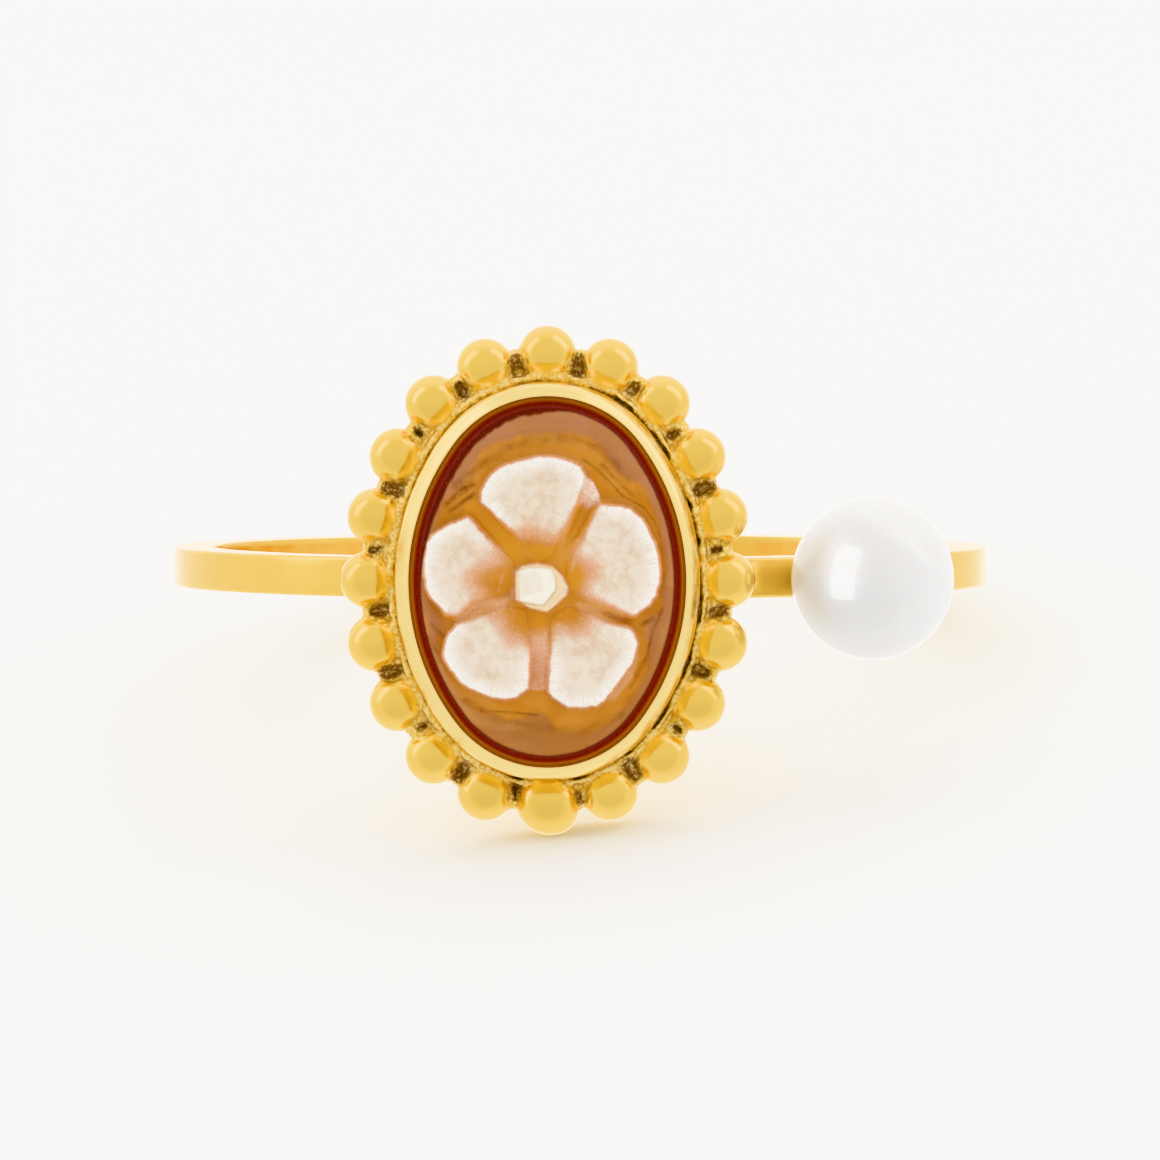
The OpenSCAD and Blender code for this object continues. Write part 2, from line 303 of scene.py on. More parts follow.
class Nodes:
    """Short calls for building the nodes of a material or a world."""

    def __init__(self, owner, shader="Principled BSDF"):
        owner.use_nodes = True
        self.owner = owner
        self.tree = owner.node_tree
        self.shader = self.tree.nodes[shader]

    def node(self, kind, inputs=None, **settings):
        made = self.tree.nodes.new(kind)
        for key, value in settings.items():
            setattr(made, key, value)
        for key, value in (inputs or {}).items():
            self.put(made.inputs[key], value)
        return made

    def put(self, socket, value):
        if isinstance(value, bpy.types.NodeSocket):
            self.tree.links.new(value, socket)
        else:
            socket.default_value = value

    def shade(self, **values):
        for key, value in values.items():
            self.put(self.shader.inputs[key.replace("_", " ")], value)

    def attribute(self, name, output="Fac"):
        return self.node("ShaderNodeAttribute", attribute_name=name).outputs[output]

    def math(self, operation, *values):
        return self.node("ShaderNodeMath", dict(enumerate(values)), operation=operation).outputs[0]

    def times(self, a, b):
        return self.math("MULTIPLY", a, b)

    def minus(self, a, b):
        return self.math("SUBTRACT", a, b)

    def ramp(self, fac, low, high, out_low=0.0, out_high=1.0):
        keys = {"Value": fac, "From Min": low, "From Max": high, "To Min": out_low, "To Max": out_high}
        return self.node("ShaderNodeMapRange", keys, interpolation_type="SMOOTHSTEP").outputs[0]

    def mix(self, fac, a, b):
        return self.node("ShaderNodeMix", {0: fac, 6: a, 7: b}, data_type="RGBA").outputs[2]

    def position(self):
        """Object coordinates in millimetres."""
        keys = {0: self.node("ShaderNodeTexCoord").outputs["Object"], "Scale": 1 / MM}
        return self.node("ShaderNodeVectorMath", keys, operation="SCALE").outputs[0]

    def noise(self, vector, scale, detail=3.0, roughness=0.5):
        keys = {"Vector": vector, "Scale": scale, "Detail": detail, "Roughness": roughness}
        return self.node("ShaderNodeTexNoise", keys).outputs["Fac"]

    def bump(self, height, strength, distance, **normal):
        keys = {"Height": height, "Strength": strength, "Distance": distance, **normal}
        return self.node("ShaderNodeBump", keys).outputs[0]


def rgb(r, g, b):
    """A colour given in 0 to 255 as it is seen, as linear values."""
    return tuple((c / 255) ** 2.2 for c in (r, g, b)) + (1.0,)


def gold_material(name, cast=False, painted_lift=False):
    """Polished yellow gold. cast adds the rough grain, with painted glints and painted shade on it, and
    painted shade in the pits between the beads; the paler version is a painted lift in brightness, with
    painted shade on the rim."""
    n = Nodes(bpy.data.materials.new(name))
    where = n.position()
    warm = n.noise(where, 0.9)
    colour = n.mix(n.ramp(warm, 0.35, 0.65), rgb(250, 212, 116), rgb(248, 208, 112))
    fine = n.noise(where, 26.0, 4.0)
    rough = n.ramp(n.noise(where, 2.2, 4.0), 0.3, 0.7, 0.17, 0.25)
    normal = n.bump(fine, 0.05, 0.00001)
    metal = 1.0
    if cast:
        grain = n.attribute("grain")
        pit_shade = n.attribute("pit_shade")
        speck = n.noise(where, 13.0, 5.0, 0.68)
        # Paler gold over the cast grain is a painted lift for the lit rough metal, and its pale specks are
        # painted glints
        colour = n.mix(n.times(grain, 0.7), colour, rgb(255, 228, 156))
        colour = n.mix(n.times(grain, n.ramp(speck, 0.5, 0.38)), colour, rgb(255, 234, 172))
        # Brown specks over the grain are painted shade between the granules
        film = n.times(grain, n.ramp(speck, 0.46, 0.6, 0.0, 0.85))
        colour = n.mix(film, colour, rgb(226, 184, 96))
        # Amber in the outer necks is painted shade and reflection where the beads face each other
        amber = n.times(n.attribute("amber"), n.ramp(speck, 0.4, 0.55, 0.2, 0.8))
        colour = n.mix(amber, colour, rgb(214, 176, 70))
        # Dark brown, less metallic metal in the pits and the crevice beside the rim is painted shade
        dark = n.times(pit_shade, n.ramp(speck, 0.42, 0.54, 0.35, 1.0))
        colour = n.mix(dark, colour, rgb(130, 78, 24))
        metal = n.math("MULTIPLY_ADD", dark, -0.8, 1.0)
        rough = n.math("ADD", rough, n.times(grain, 0.15))
        coarse = n.times(grain, n.noise(where, 12.0, 4.0, 0.65))
        normal = n.bump(coarse, 0.8, 0.00004, Normal=normal)
    if painted_lift:
        # A paler gold, a painted lift in brightness, with patches of painted shade over the rim's outer
        # rounding
        patchy = n.ramp(n.noise(where, 2.5, 3.0, 0.6), 0.35, 0.65, 0.4, 1.0)
        film = n.times(n.attribute("film"), patchy)
        colour = n.mix(film, rgb(255, 229, 154), rgb(208, 160, 78))
    n.shade(Base_Color=colour, Metallic=metal, Roughness=rough, Normal=normal)
    return n.owner


# ---- Metal ----


def arc(x, y, rx, ry, start, end, count):
    """Points of an ellipse's arc between two angles."""
    return [(x + rx * math.cos(t), y + ry * math.sin(t)) for t in np.linspace(start, end, count)]


def lathe(profile, segments):
    """Rows of points round the ring's axis, from (radius, height) pairs."""
    a = np.linspace(0, 2 * math.pi, segments, endpoint=False)
    return [np.stack([r * np.cos(a), r * np.sin(a), np.full(segments, z)], 1) for r, z in profile]


def rounded_box(x0, x1, y0, y1, radii, steps):
    """A closed rectangle, counter-clockwise from the lower left, with a radius at each corner."""
    corners = [(x0, y0), (x1, y0), (x1, y1), (x0, y1)]
    points = []
    for k, ((x, y), r) in enumerate(zip(corners, radii)):
        start = math.pi + k * math.pi / 2
        cx, cy = x + (r if x == x0 else -r), y + (r if y == y0 else -r)
        points += arc(cx, cy, r, r, start, start + math.pi / 2, steps + 1)
    return points


def sample_line(points, step):
    """The closed line through the points, with extra points so that no side is longer than step."""
    made = []
    for a, b in zip(points, points[1:] + points[:1]):
        n = max(1, math.ceil(math.dist(a, b) / step))
        made += [(a[0] + (b[0] - a[0]) * i / n, a[1] + (b[1] - a[1]) * i / n) for i in range(n)]
    return made


def make_band(material):
    """The plain square band, with its edges rounded."""
    inner, segments, steps, spacing = 0.03, 480, 5, 0.2
    radii = (inner, BAND_EDGE, BAND_EDGE, inner)
    box = rounded_box(FINGER_D / 2, BAND_R, -BAND_W / 2, BAND_W / 2, radii, steps)
    profile = sample_line(box, spacing)
    points = np.concatenate(lathe(profile, segments))
    quads = grid_faces(len(profile) + 1, segments) % len(points)
    make_piece("band", ring_to_world(points), quads, [], "setting", "gold", material)


def make_turned(name, profile, node, slot, material):
    """A piece turned round the pearl's line from (radius, distance from the ring's centre) pairs."""
    ends = [(0, 0, profile[i][1]) for i in (0, -1)]
    points, quads, triangles = capped(lathe(profile, 128), *ends)
    side = [math.cos(PEARL_ANGLE), math.sin(PEARL_ANGLE), 0]
    out = [math.sin(PEARL_ANGLE), -math.cos(PEARL_ANGLE), 0]
    placed = ring_to_world(points @ np.array([side, [0, 0, 1], out]))
    make_piece(name, placed, quads, triangles, node, slot, material)


def make_peg(material):
    """The post for the pearl, with a rounded end."""
    edge = 0.06
    low, high = BAND_R - BAND_T / 2, BAND_R + PEG_L
    profile = [(PEG_R, low), (PEG_R, (low + high) / 2)]
    profile += arc(PEG_R - edge, high - edge, edge, edge, 0, math.pi / 2, 6)
    make_turned("pearl_peg", profile, "setting", "gold", material)


# Rim: where it is highest, how its outer side slopes, and how its rounding is stretched towards the wall
RIM_CREST, RIM_SLOPE, RIM_TALL = -0.035, math.radians(35), 1.3
# Where the slope turns over into the rounding: middle, how much earlier at the right, unevenness
TURN_D, TURN_SHIFT, TURN_WAVE = 0.12, 0.08, 0.015
# Painted shade on the rim: where it starts, how much earlier at the right, unevenness, softness, lowest height
RIM_SHADE_D, RIM_SHADE_SHIFT, RIM_SHADE_WAVE, RIM_SHADE_SOFT, RIM_SHADE_H = 0.17, 0.09, 0.04, 0.09, 1.6
# Points round the cup, how far in its flat faces have their last row, and the rounding at its back
CUP_SECTORS, CUP_INNER, CUP_EDGE = 720, -0.6, 0.04


def make_cup(material):
    """The smooth wall with its rounded rim, its floor and its flat back."""
    count, half = CUP_SECTORS, RIM_T / 2
    a = even_normals(count, 0.0)
    wave = noise(np.cos(a) * 4, np.sin(a) * 4, 0 * a, 51)
    profile = [(CUP_INNER, 0.0), (WALL_OUT - CUP_EDGE, 0.0)]
    profile += [(WALL_OUT, h) for h in (CUP_EDGE, 0.5, 1.2)]
    # The rim is highest near the stone, slopes away outwards, and rounds over to the wall
    fall = math.tan(RIM_SLOPE)
    turn = TURN_D - TURN_SHIFT * np.cos(a) + TURN_WAVE * wave
    end = math.atan(RIM_TALL / fall)
    wide = (WALL_OUT - turn) / (1 - math.cos(end))
    foot = CUP_H - (turn - RIM_CREST) * fall - RIM_TALL * wide * math.sin(end)
    profile += arc(WALL_OUT - wide, foot, wide, RIM_TALL * wide, 0, end, 25)
    profile += [(RIM_CREST + 0.04, CUP_H - 0.04 * fall), (RIM_CREST + 0.01, CUP_H - 0.003), (RIM_CREST, CUP_H)]
    profile += arc(RIM_CREST, CUP_H - half, RIM_CREST + RIM_OVER, half, math.pi / 2, math.pi, 13)[1:]
    profile += arc(half - RIM_OVER, CUP_H - half, half, half, math.pi, 3 * math.pi / 2, 9)[1:]
    profile += [(SEAT_GAP, CUP_H - RIM_T), (SEAT_GAP, FLOOR_T), (CUP_INNER, FLOOR_T)]
    rows, films = [], []
    # Painted shade over the rim's outer rounding, starting further in at the right
    broken = noise(np.cos(a) * 7, np.sin(a) * 7, 0 * a, 52)
    rim_shade_starts = RIM_SHADE_D - RIM_SHADE_SHIFT * np.maximum(np.cos(a), 0) + RIM_SHADE_WAVE * broken
    for d, h in profile:
        rows.append(np.column_stack([oval_point(a, d), np.broadcast_to(h, count)]))
        films.append(ease((d - rim_shade_starts) / RIM_SHADE_SOFT) * ease((h - RIM_SHADE_H) / 0.1) * np.ones(count))
    points, *faces = capped(rows, (0, 0, 0), (0, 0, FLOOR_T))
    faces = [f[:, ::-1] for f in faces]
    film = np.concatenate(films + [[0, 0]])
    make_piece("cup", head_to_world(points), *faces, "setting", "gold", material, film=film)


# Section of the metal that joins the beads. d is the distance from the stone's outline, h the height.
# Necks between the beads: centre d and h, half width, half height
NECK_D, NECK_H, NECK_WIDE, NECK_HIGH = 0.68, 0.52, 0.32, 0.42
# Base under them: from and to in d and in h, before it is swollen by its rounding
BASE_D0, BASE_D1, BASE_H0, BASE_H1, BASE_ROUND = 0.1, 0.9, 0.06, 0.52, 0.04
# Ridge beside the rim: centre d and h, radius, and how much it is stretched upwards
RIDGE_D, RIDGE_H, RIDGE_R, RIDGE_STRETCH = 0.34, 0.85, 0.12, 0.6
# Pits between the beads: centre, half of their straight part, half width, floor
PIT_D, PIT_LONG, PIT_HALF, PIT_FLOOR = 0.68, 0.09, 0.095, 0.76
PIT_NORMALS = even_normals(BEADS, BEAD_LINE, 0.5)
# Crevice between the ridge and the rim: its line, half width where it is fully open
CREVICE_D, CREVICE_W = 0.29, 0.07
# A blob beside the foot bead that makes it misshapen: offset right and up, radius
NUB_X, NUB_Y, NUB_R = 0.12, -0.14, 0.54
# How softly the forms run into each other, and the grid on which the border is meshed
BLEND, STEP = 0.04, 0.05
BORDER_LOW, BORDER_HIGH = np.array([-4.75, -5.6, -0.1]), np.array([4.75, 5.6, 1.45])


def crevice_depth(a):
    """How open the crevice beside the rim is at each direction, from 0 to 1."""
    broken = noise(np.cos(a) * 11, np.sin(a) * 11, np.zeros_like(a), 5) * 0.5 + 0.5
    right = ease((np.cos(a - math.radians(10)) - 0.3) / 0.4)
    lower = ease((np.cos(a + math.radians(92)) - 0.85) / 0.12)
    share = 0.12 + 0.95 * right + 0.85 * lower
    return np.clip(share * (0.1 + 1.3 * ease((broken - 0.25) / 0.35)), 0, 1)


def bead_distance(x, y, h):
    """Distance to the beads."""
    beads = np.full(x.shape, FAR)
    for bx, by, bh, br in BEAD_ROWS:
        beads = np.minimum(beads, np.sqrt((x - bx) ** 2 + (y - by) ** 2 + (h - bh) ** 2) - br)
    foot = BEAD_ROWS[BEADS // 2]
    nub = np.sqrt((x - foot[0] - NUB_X) ** 2 + (y - foot[1] - NUB_Y) ** 2 + (h - foot[2]) ** 2) - NUB_R
    return smooth_min(beads, nub, 0.1)


def pit_distance(x, y, h):
    """Distance to the long pits between the beads, each turned and sized a little differently."""
    pits = np.full(x.shape, FAR)
    for k, (a, (px, py)) in enumerate(zip(PIT_NORMALS, oval_point(PIT_NORMALS, PIT_D))):
        a = a + 0.3 * math.sin(5.1 * k + 0.6)
        grow = 0.95 + 0.38 * math.sin(2.4 * k + 1)
        u = (x - px) * math.cos(a) + (y - py) * math.sin(a) + 0.05 * math.sin(3.3 * k)
        v = (y - py) * math.cos(a) - (x - px) * math.sin(a)
        over = np.hypot(np.maximum(np.abs(u) - PIT_LONG * grow, 0), v) - PIT_HALF * grow
        pits = np.minimum(pits, np.maximum(over, (PIT_FLOOR + 0.05 * math.sin(1.7 * k) - h) * 0.8))
    return pits


def bridge_distance(d, h, lumps):
    """Distance to the metal that joins the beads: necks, base and the ridge beside the rim."""
    neck = np.hypot((d - NECK_D) / NECK_WIDE, (h - NECK_H) / NECK_HIGH)
    neck = (neck - 1) * NECK_WIDE - 0.03 * lumps
    base = np.maximum(np.maximum(d - BASE_D1, BASE_D0 - d), np.maximum(h - BASE_H1, BASE_H0 - h))
    base = base - BASE_ROUND
    ridge = np.hypot(d - RIDGE_D, (h - RIDGE_H) * RIDGE_STRETCH) - RIDGE_R - 0.04 * lumps
    return smooth_min(smooth_min(neck, base, 0.06), ridge, 0.06)


def border_lumps(x, y, h):
    """Unevenness of the cast metal, from -1 to 1."""
    return noise(x * 3.4, y * 3.4, h * 3.4, 11) * 0.6 + noise(x * 8, y * 8, h * 8, 12) * 0.4


def border_distance(p):
    """Signed distance of the beaded border, with its necks, base, ridge, pits and crevice."""
    x, y, h = p[..., 0], p[..., 1], p[..., 2]
    d, a = oval_distance(x, y)
    beads = bead_distance(x, y, h)
    lumps = border_lumps(x, y, h)
    solid = smooth_min(beads, bridge_distance(d, h, lumps), BLEND)
    depth = crevice_depth(a)
    sides = np.abs(d - CREVICE_D - 0.02 * lumps) - CREVICE_W * (depth - 0.25)
    crevice = np.maximum(sides, 0.93 - 0.4 * depth - h)
    # Neither the crevice nor the pits cut into the beads
    crevice = np.maximum(crevice, 0.1 - beads)
    cut = smooth_min(pit_distance(x, y, h) + 0.08 * lumps, crevice, 0.03)
    cut = np.maximum(cut, 0.03 - beads)
    return -smooth_min(-solid, cut, BLEND)


def make_border(material):
    """The beads and the metal between them as one mesh, with the masks that its material needs."""
    counts = np.ceil((BORDER_HIGH - BORDER_LOW) / STEP).astype(int) + 1
    axes = [BORDER_LOW[k] + STEP * np.arange(counts[k]) for k in range(3)]
    grid = np.stack(np.meshgrid(*axes, indexing="ij"), -1)
    points, quads = surface_net(border_distance(grid), BORDER_LOW, STEP)
    points = settle(border_distance, points, 3)
    d, a = oval_distance(points[:, 0], points[:, 1])
    x, y, h = points.T
    pits = pit_distance(x, y, h)
    torn = noise(x * 9, y * 9, h * 9, 23)
    bridge = bridge_distance(d, h, border_lumps(x, y, h))
    grain = (1 - ease((bridge + 0.05 * torn - 0.01) / 0.1)) * ease((h - 0.1) / 0.15)
    in_pit = 1 - ease((pits - 0.03 * torn) / 0.07)
    opened = ease((crevice_depth(a) + 0.2 * torn - 0.05) / 0.3)
    in_crevice = (1 - ease((np.abs(d - CREVICE_D + 0.01) - 0.01) / 0.05)) * opened
    # Where the pits and the crevice get painted shade
    pit_shade = np.clip(np.maximum(in_pit, in_crevice), 0, 1) * ease((h - 0.12) / 0.1) * grain
    g = gradient(border_distance, points)
    g /= np.maximum(np.linalg.norm(g, axis=1), 1e-6)[:, None]
    lump = noise(x * 7, y * 7, h * 7, 21) * 0.5 + noise(x * 15, y * 15, h * 15, 22) * 0.5
    points = points + g * (lump * 0.035 * grain)[:, None]
    # The outer necks between the beads, where the material paints shade and reflection in amber
    amber = grain * ease((d - 0.55) / 0.25) * ease((0.14 - bridge) / 0.1)
    masks = {"grain": grain, "pit_shade": pit_shade, "amber": amber}
    make_piece("bead_border", head_to_world(points), quads, [], "setting", "gold", material, **masks)


# ---- Stone ----

FLOWER_MID = np.array([-0.18, -0.1])
# Outlines of the carved petals from the flower's middle, clockwise. Columns: right, up, and the width of the
# flank that rises from the side which starts here, where it isn't THIN.
THIN = 0.06
TOP_PETAL = [
    (-1.22, 1.84), (-1.2, 2.03), (-1.09, 2.28), (-0.88, 2.49), (-0.67, 2.59), (-0.39, 2.68), (0.01, 2.77),
    (0.38, 2.74), (0.67, 2.66), (0.88, 2.54), (1.0, 2.3, 0.1), (0.91, 2.06, 0.16), (0.68, 1.61, 0.18),
    (0.46, 1.15, 0.2), (0.25, 0.66, 0.3), (-0.1, 0.5, 0.2), (-0.36, 0.97, 0.09), (-0.81, 1.43, 0.07),
]
RIGHT_PETAL = [
    (1.3, 1.75, 0.12), (1.51, 1.72, 0.07), (1.69, 1.71), (1.9, 1.68), (2.04, 1.57), (2.18, 1.46),
    (2.27, 1.32), (2.36, 1.11), (2.44, 0.94), (2.5, 0.73), (2.56, 0.4), (2.55, 0.1), (2.46, -0.2, 0.07),
    (2.32, -0.38, 0.08), (2.0, -0.59, 0.2), (1.58, -0.38, 0.24), (1.09, -0.2, 0.26), (0.6, -0.06, 0.3),
    (0.62, 0.5, 0.2), (0.95, 1.01, 0.16),
]
LEFT_PETAL = [
    (-1.48, 1.47, 0.12), (-1.3, 1.25, 0.09), (-0.95, 0.9, 0.09), (-0.57, 0.55, 0.2), (-0.45, 0.0, 0.3),
    (-0.85, -0.12, 0.26), (-1.38, -0.28, 0.22), (-1.75, -0.55, 0.2), (-1.94, -0.55, 0.07), (-2.08, -0.43),
    (-2.26, -0.24), (-2.36, -0.05), (-2.4, 0.2), (-2.42, 0.45), (-2.4, 0.69), (-2.36, 0.94),
    (-2.26, 1.08), (-2.11, 1.19), (-1.94, 1.29), (-1.69, 1.4, 0.08),
]
LOWER_LEFT_PETAL = [
    (-1.75, -0.82, 0.09), (-1.59, -0.77, 0.2), (-1.09, -0.59, 0.22), (-0.75, -0.45, 0.26),
    (-0.3, -0.5, 0.2), (-0.2, -1.19, 0.11), (-0.21, -1.61, 0.1), (-0.23, -2.15, 0.08), (-0.4, -2.25),
    (-0.5, -2.35), (-0.67, -2.38), (-0.95, -2.35), (-1.16, -2.28), (-1.41, -2.17), (-1.62, -2.03),
    (-1.8, -1.82), (-1.94, -1.61), (-2.02, -1.43), (-1.99, -1.22), (-1.9, -0.98, 0.07),
]
LOWER_RIGHT_PETAL = [
    (0.28, -0.7, 0.1), (0.6, -0.45, 0.26), (1.09, -0.6, 0.2), (1.44, -0.78, 0.14), (1.9, -0.88, 0.08),
    (2.02, -1.0), (2.09, -1.22), (2.04, -1.4), (1.97, -1.64), (1.83, -1.82), (1.69, -2.03), (1.51, -2.24),
    (1.37, -2.42), (1.23, -2.51), (1.02, -2.54), (0.63, -2.54), (0.45, -2.43), (0.31, -2.35, 0.07),
    (0.22, -2.21, 0.1), (0.26, -1.4, 0.1),
]
# Columns: outline, distance from the middle at which the petal starts to rise, distance over which it rises,
# and the hollow that is cut into its root: direction, where the white layer ends beside it, how much further
# out it ends in the hollow, the hollow's half width, and the distance over which the white grows
PETALS = [
    (TOP_PETAL, 0.8, 0.9, 103, 0.5, 0.22, 0.42, 1.25),
    (RIGHT_PETAL, 0.82, 1.0, 20, 0.34, 0.34, 0.34, 1.35),
    (LEFT_PETAL, 0.92, 1.25, 172, 0.36, 0.42, 0.3, 1.75),
    (LOWER_LEFT_PETAL, 0.84, 1.0, 243, 0.48, 0.3, 0.38, 1.25),
    (LOWER_RIGHT_PETAL, 0.86, 1.1, 318, 0.42, 0.38, 0.34, 1.35),
]
# Thin veils of the white layer beside the petals. Columns: outline like a petal's, height, whiteness
VEILS = [
    ([(0.95, 2.42, 0.05), (1.17, 2.22, 0.05), (1.3, 1.95), (1.3, 1.78, 0.14), (1.05, 1.66, 0.2),
      (0.85, 1.8, 0.15)], 0.085, 0.5),
    ([(1.3, 1.85, 0.12), (1.02, 1.28, 0.12), (0.72, 0.7, 0.16), (0.66, 0.3, 0.2), (1.1, 0.8, 0.2),
      (1.4, 1.4, 0.2)], 0.03, 0.26),
    ([(2.05, -1.15, 0.1), (2.14, -1.5, 0.1), (1.98, -1.95, 0.1), (1.62, -2.42, 0.1), (1.35, -2.4, 0.1),
      (1.69, -2.03, 0.1), (1.97, -1.64, 0.1)], 0.06, 0.24),
    ([(-0.26, -2.2), (0.24, -2.2), (0.26, -1.5, 0.2), (0.18, -0.9, 0.5), (-0.2, -1.0, 0.5)], 0.05, 0.36),
    ([(2.15, -0.62, 0.12), (1.5, -0.82, 0.12), (0.9, -0.62, 0.2), (0.75, -0.3, 0.2), (1.3, -0.28, 0.12)],
     0.03, 0.15),
    ([(-1.85, -0.75, 0.1), (-1.3, -0.7, 0.12), (-0.7, -0.5, 0.2), (-0.6, -0.2, 0.2), (-1.3, -0.25, 0.12)],
     0.03, 0.2),
]
# The boss in the flower's middle: the foot that it stands on, and its five-sided top with two blunt corners
BOSS_SKIRT = [
    (-0.5, 0.33, 0.1), (-0.36, 0.45, 0.1), (-0.04, 0.5, 0.1), (0.28, 0.45, 0.1), (0.49, 0.27, 0.12),
    (0.62, 0.0, 0.14), (0.6, -0.17, 0.12), (0.35, -0.4, 0.1), (0.17, -0.54, 0.1), (-0.18, -0.45, 0.1),
    (-0.5, -0.27, 0.1),
]
BOSS_TOP = [
    (-0.44, 0.33, 0.05), (-0.22, 0.42, 0.05), (0.24, 0.4, 0.05), (0.35, 0.2, 0.04), (0.35, -0.06, 0.04),
    (0.1, -0.37, 0.04), (-0.4, -0.29, 0.04),
]
# Heights: a petal, the lip along its edge, the boss's foot, and the boss over its foot
PETAL_RISE, PETAL_LIP, SKIRT_RISE, BOSS_RISE = 0.27, 0.09, 0.22, 0.16
# Cut of the ground: depth, where it starts beside the bevel, its slope's width, extra depth in the amber
GROUND_CUT, CUT_MARGIN, CUT_SLOPE, AMBER_CUT = 0.08, 0.1, 0.35, 0.035
# How far the ground was cut down to the amber around the flower. Columns: direction in degrees, distance
AMBER_REACH = [
    (0, 0.12), (20, 0.18), (42, 0.58), (62, 0.62), (90, 0.5), (112, 0.44), (135, 0.5), (155, 0.22),
    (178, 0.07), (205, 0.12), (232, 0.34), (262, 0.5), (285, 0.52), (315, 0.44), (338, 0.22), (360, 0.12),
]
# Marks that the tools left in the ground and at the boss's edge: real dents, darkened with painted shade along
# the steps and along the boss's lower and right edges. Columns: points, half width, darkness, depth
STROKES = [
    ([(-1.77, 2.18), (-1.3, 2.55), (-0.7, 2.95), (-0.17, 3.1), (0.36, 3.16), (0.96, 3.1), (1.32, 2.92),
      (1.6, 2.65), (1.9, 2.27)], 0.1, 0.36, 0.012),
    ([(0.92, 2.72), (1.21, 2.52), (1.55, 2.19), (1.79, 1.92), (2.21, 1.7), (2.45, 1.4), (2.58, 1.05)],
     0.022, 0.6, 0.02),
    ([(1.35, 2.6), (1.72, 2.2), (1.98, 1.97)], 0.05, 0.4, 0.01),
    ([(-1.23, -2.64), (-0.64, -2.67), (-0.04, -2.73)], 0.022, 0.6, 0.015),
    ([(-1.55, -2.4), (-0.8, -2.82), (0.05, -3.0), (0.95, -3.03), (1.75, -2.72)], 0.08, 0.28, 0.01),
    ([(2.62, -0.45), (2.42, -0.95), (2.28, -1.5), (1.95, -2.15)], 0.035, 0.5, 0.012),
    ([(2.4, -0.66), (2.2, -0.8)], 0.05, 0.55, 0.01),
    ([(-2.28, -0.8), (-1.98, -1.1)], 0.05, 0.55, 0.01),
    ([(-2.36, -1.05), (-2.14, -1.42)], 0.04, 0.35, 0.01),
    ([(-1.98, 1.75), (-1.66, 2.02), (-1.42, 2.2)], 0.06, 0.75, 0.012),
    ([(-1.9, 1.6), (-1.58, 1.84), (-1.38, 1.96)], 0.045, 0.65, 0.012),
    ([(0.97, 2.32), (0.84, 1.86)], 0.016, 0.75, 0.012),
    ([(-0.4, -0.32), (-0.11, -0.38), (0.1, -0.385), (0.26, -0.19), (0.35, -0.08)], 0.017, 0.62, 0.0),
    ([(0.33, 0.24), (0.37, 0.05), (0.35, -0.04)], 0.017, 0.45, 0.0),
]
# Grooves where the amber is clearest. Columns: points, half width, how clear
CLEAR_CHANNELS = [
    ([(-1.36, 1.6), (-0.3, 0.55), (0.02, 0.66), (0.42, 0.6), (0.68, 0.4), (0.84, 0.16)], 0.17, 1.0),
    ([(0.5, 0.7), (0.92, 1.62)], 0.2, 0.9),
    ([(0.02, -0.62), (0.03, -1.1)], 0.04, 0.6),
]
# Thin pale lines where a little of the white layer is left. Columns: points, half width, whiteness
GLINTS = [
    ([(-0.74, 0.36), (-0.8, 0.12), (-0.86, -0.09)], 0.05, 0.18),
    ([(-0.48, 0.46), (-0.545, 0.07), (-0.6, -0.5)], 0.06, 0.2),
    ([(-0.39, 0.9), (-0.19, 0.62)], 0.03, 0.16),
    ([(0.8, 0.85), (0.61, 0.52)], 0.03, 0.2),
    ([(0.55, -0.42), (0.95, -0.36), (1.15, -0.47)], 0.06, 0.18),
    ([(-0.53, -0.5), (-0.56, -1.0)], 0.03, 0.2),
]
# The facet at the boss's left, which is a little less white: painted shade on that facet
BOSS_FACET = [(-0.46, 0.31, 0.03), (0.02, 0.37, 0.03), (0.13, -0.06, 0.03), (-0.385, -0.22, 0.03)]


def outline_distance(x, y, outline):
    """Signed distance inside a closed outline, the flank width near the point, and the place along it."""
    rows = np.array([(*row, THIN)[:3] for row in outline])
    ends = np.roll(rows, -1, axis=0)
    inside = np.zeros(x.shape, bool)
    best = np.full(x.shape, FAR)
    along = np.zeros(x.shape)
    weight, flank, run = 0.0, 0.0, 0.0
    for (ax, ay, width), (bx, by, _) in zip(rows, ends):
        ex, ey = bx - ax, by - ay
        length = math.hypot(ex, ey)
        t = np.clip(((x - ax) * ex + (y - ay) * ey) / length**2, 0, 1)
        gap = np.hypot(x - ax - t * ex, y - ay - t * ey)
        along = np.where(gap < best, run + t * length, along)
        best = np.minimum(best, gap)
        w = 1 / (gap**2 + 0.0004) ** 2
        weight, flank = weight + w, flank + w * width
        if ey:
            inside ^= ((ay > y) != (by > y)) & (x < ex * (y - ay) / ey + ax)
        run += length
    return np.where(inside, best, -best), flank / weight, along


def line_distance(x, y, points):
    """Distance to an open line."""
    best = np.full(x.shape, FAR)
    for (ax, ay), (bx, by) in zip(points, points[1:]):
        ex, ey = bx - ax, by - ay
        t = np.clip(((x - ax) * ex + (y - ay) * ey) / (ex * ex + ey * ey), 0, 1)
        best = np.minimum(best, np.hypot(x - ax - t * ex, y - ay - t * ey))
    return best


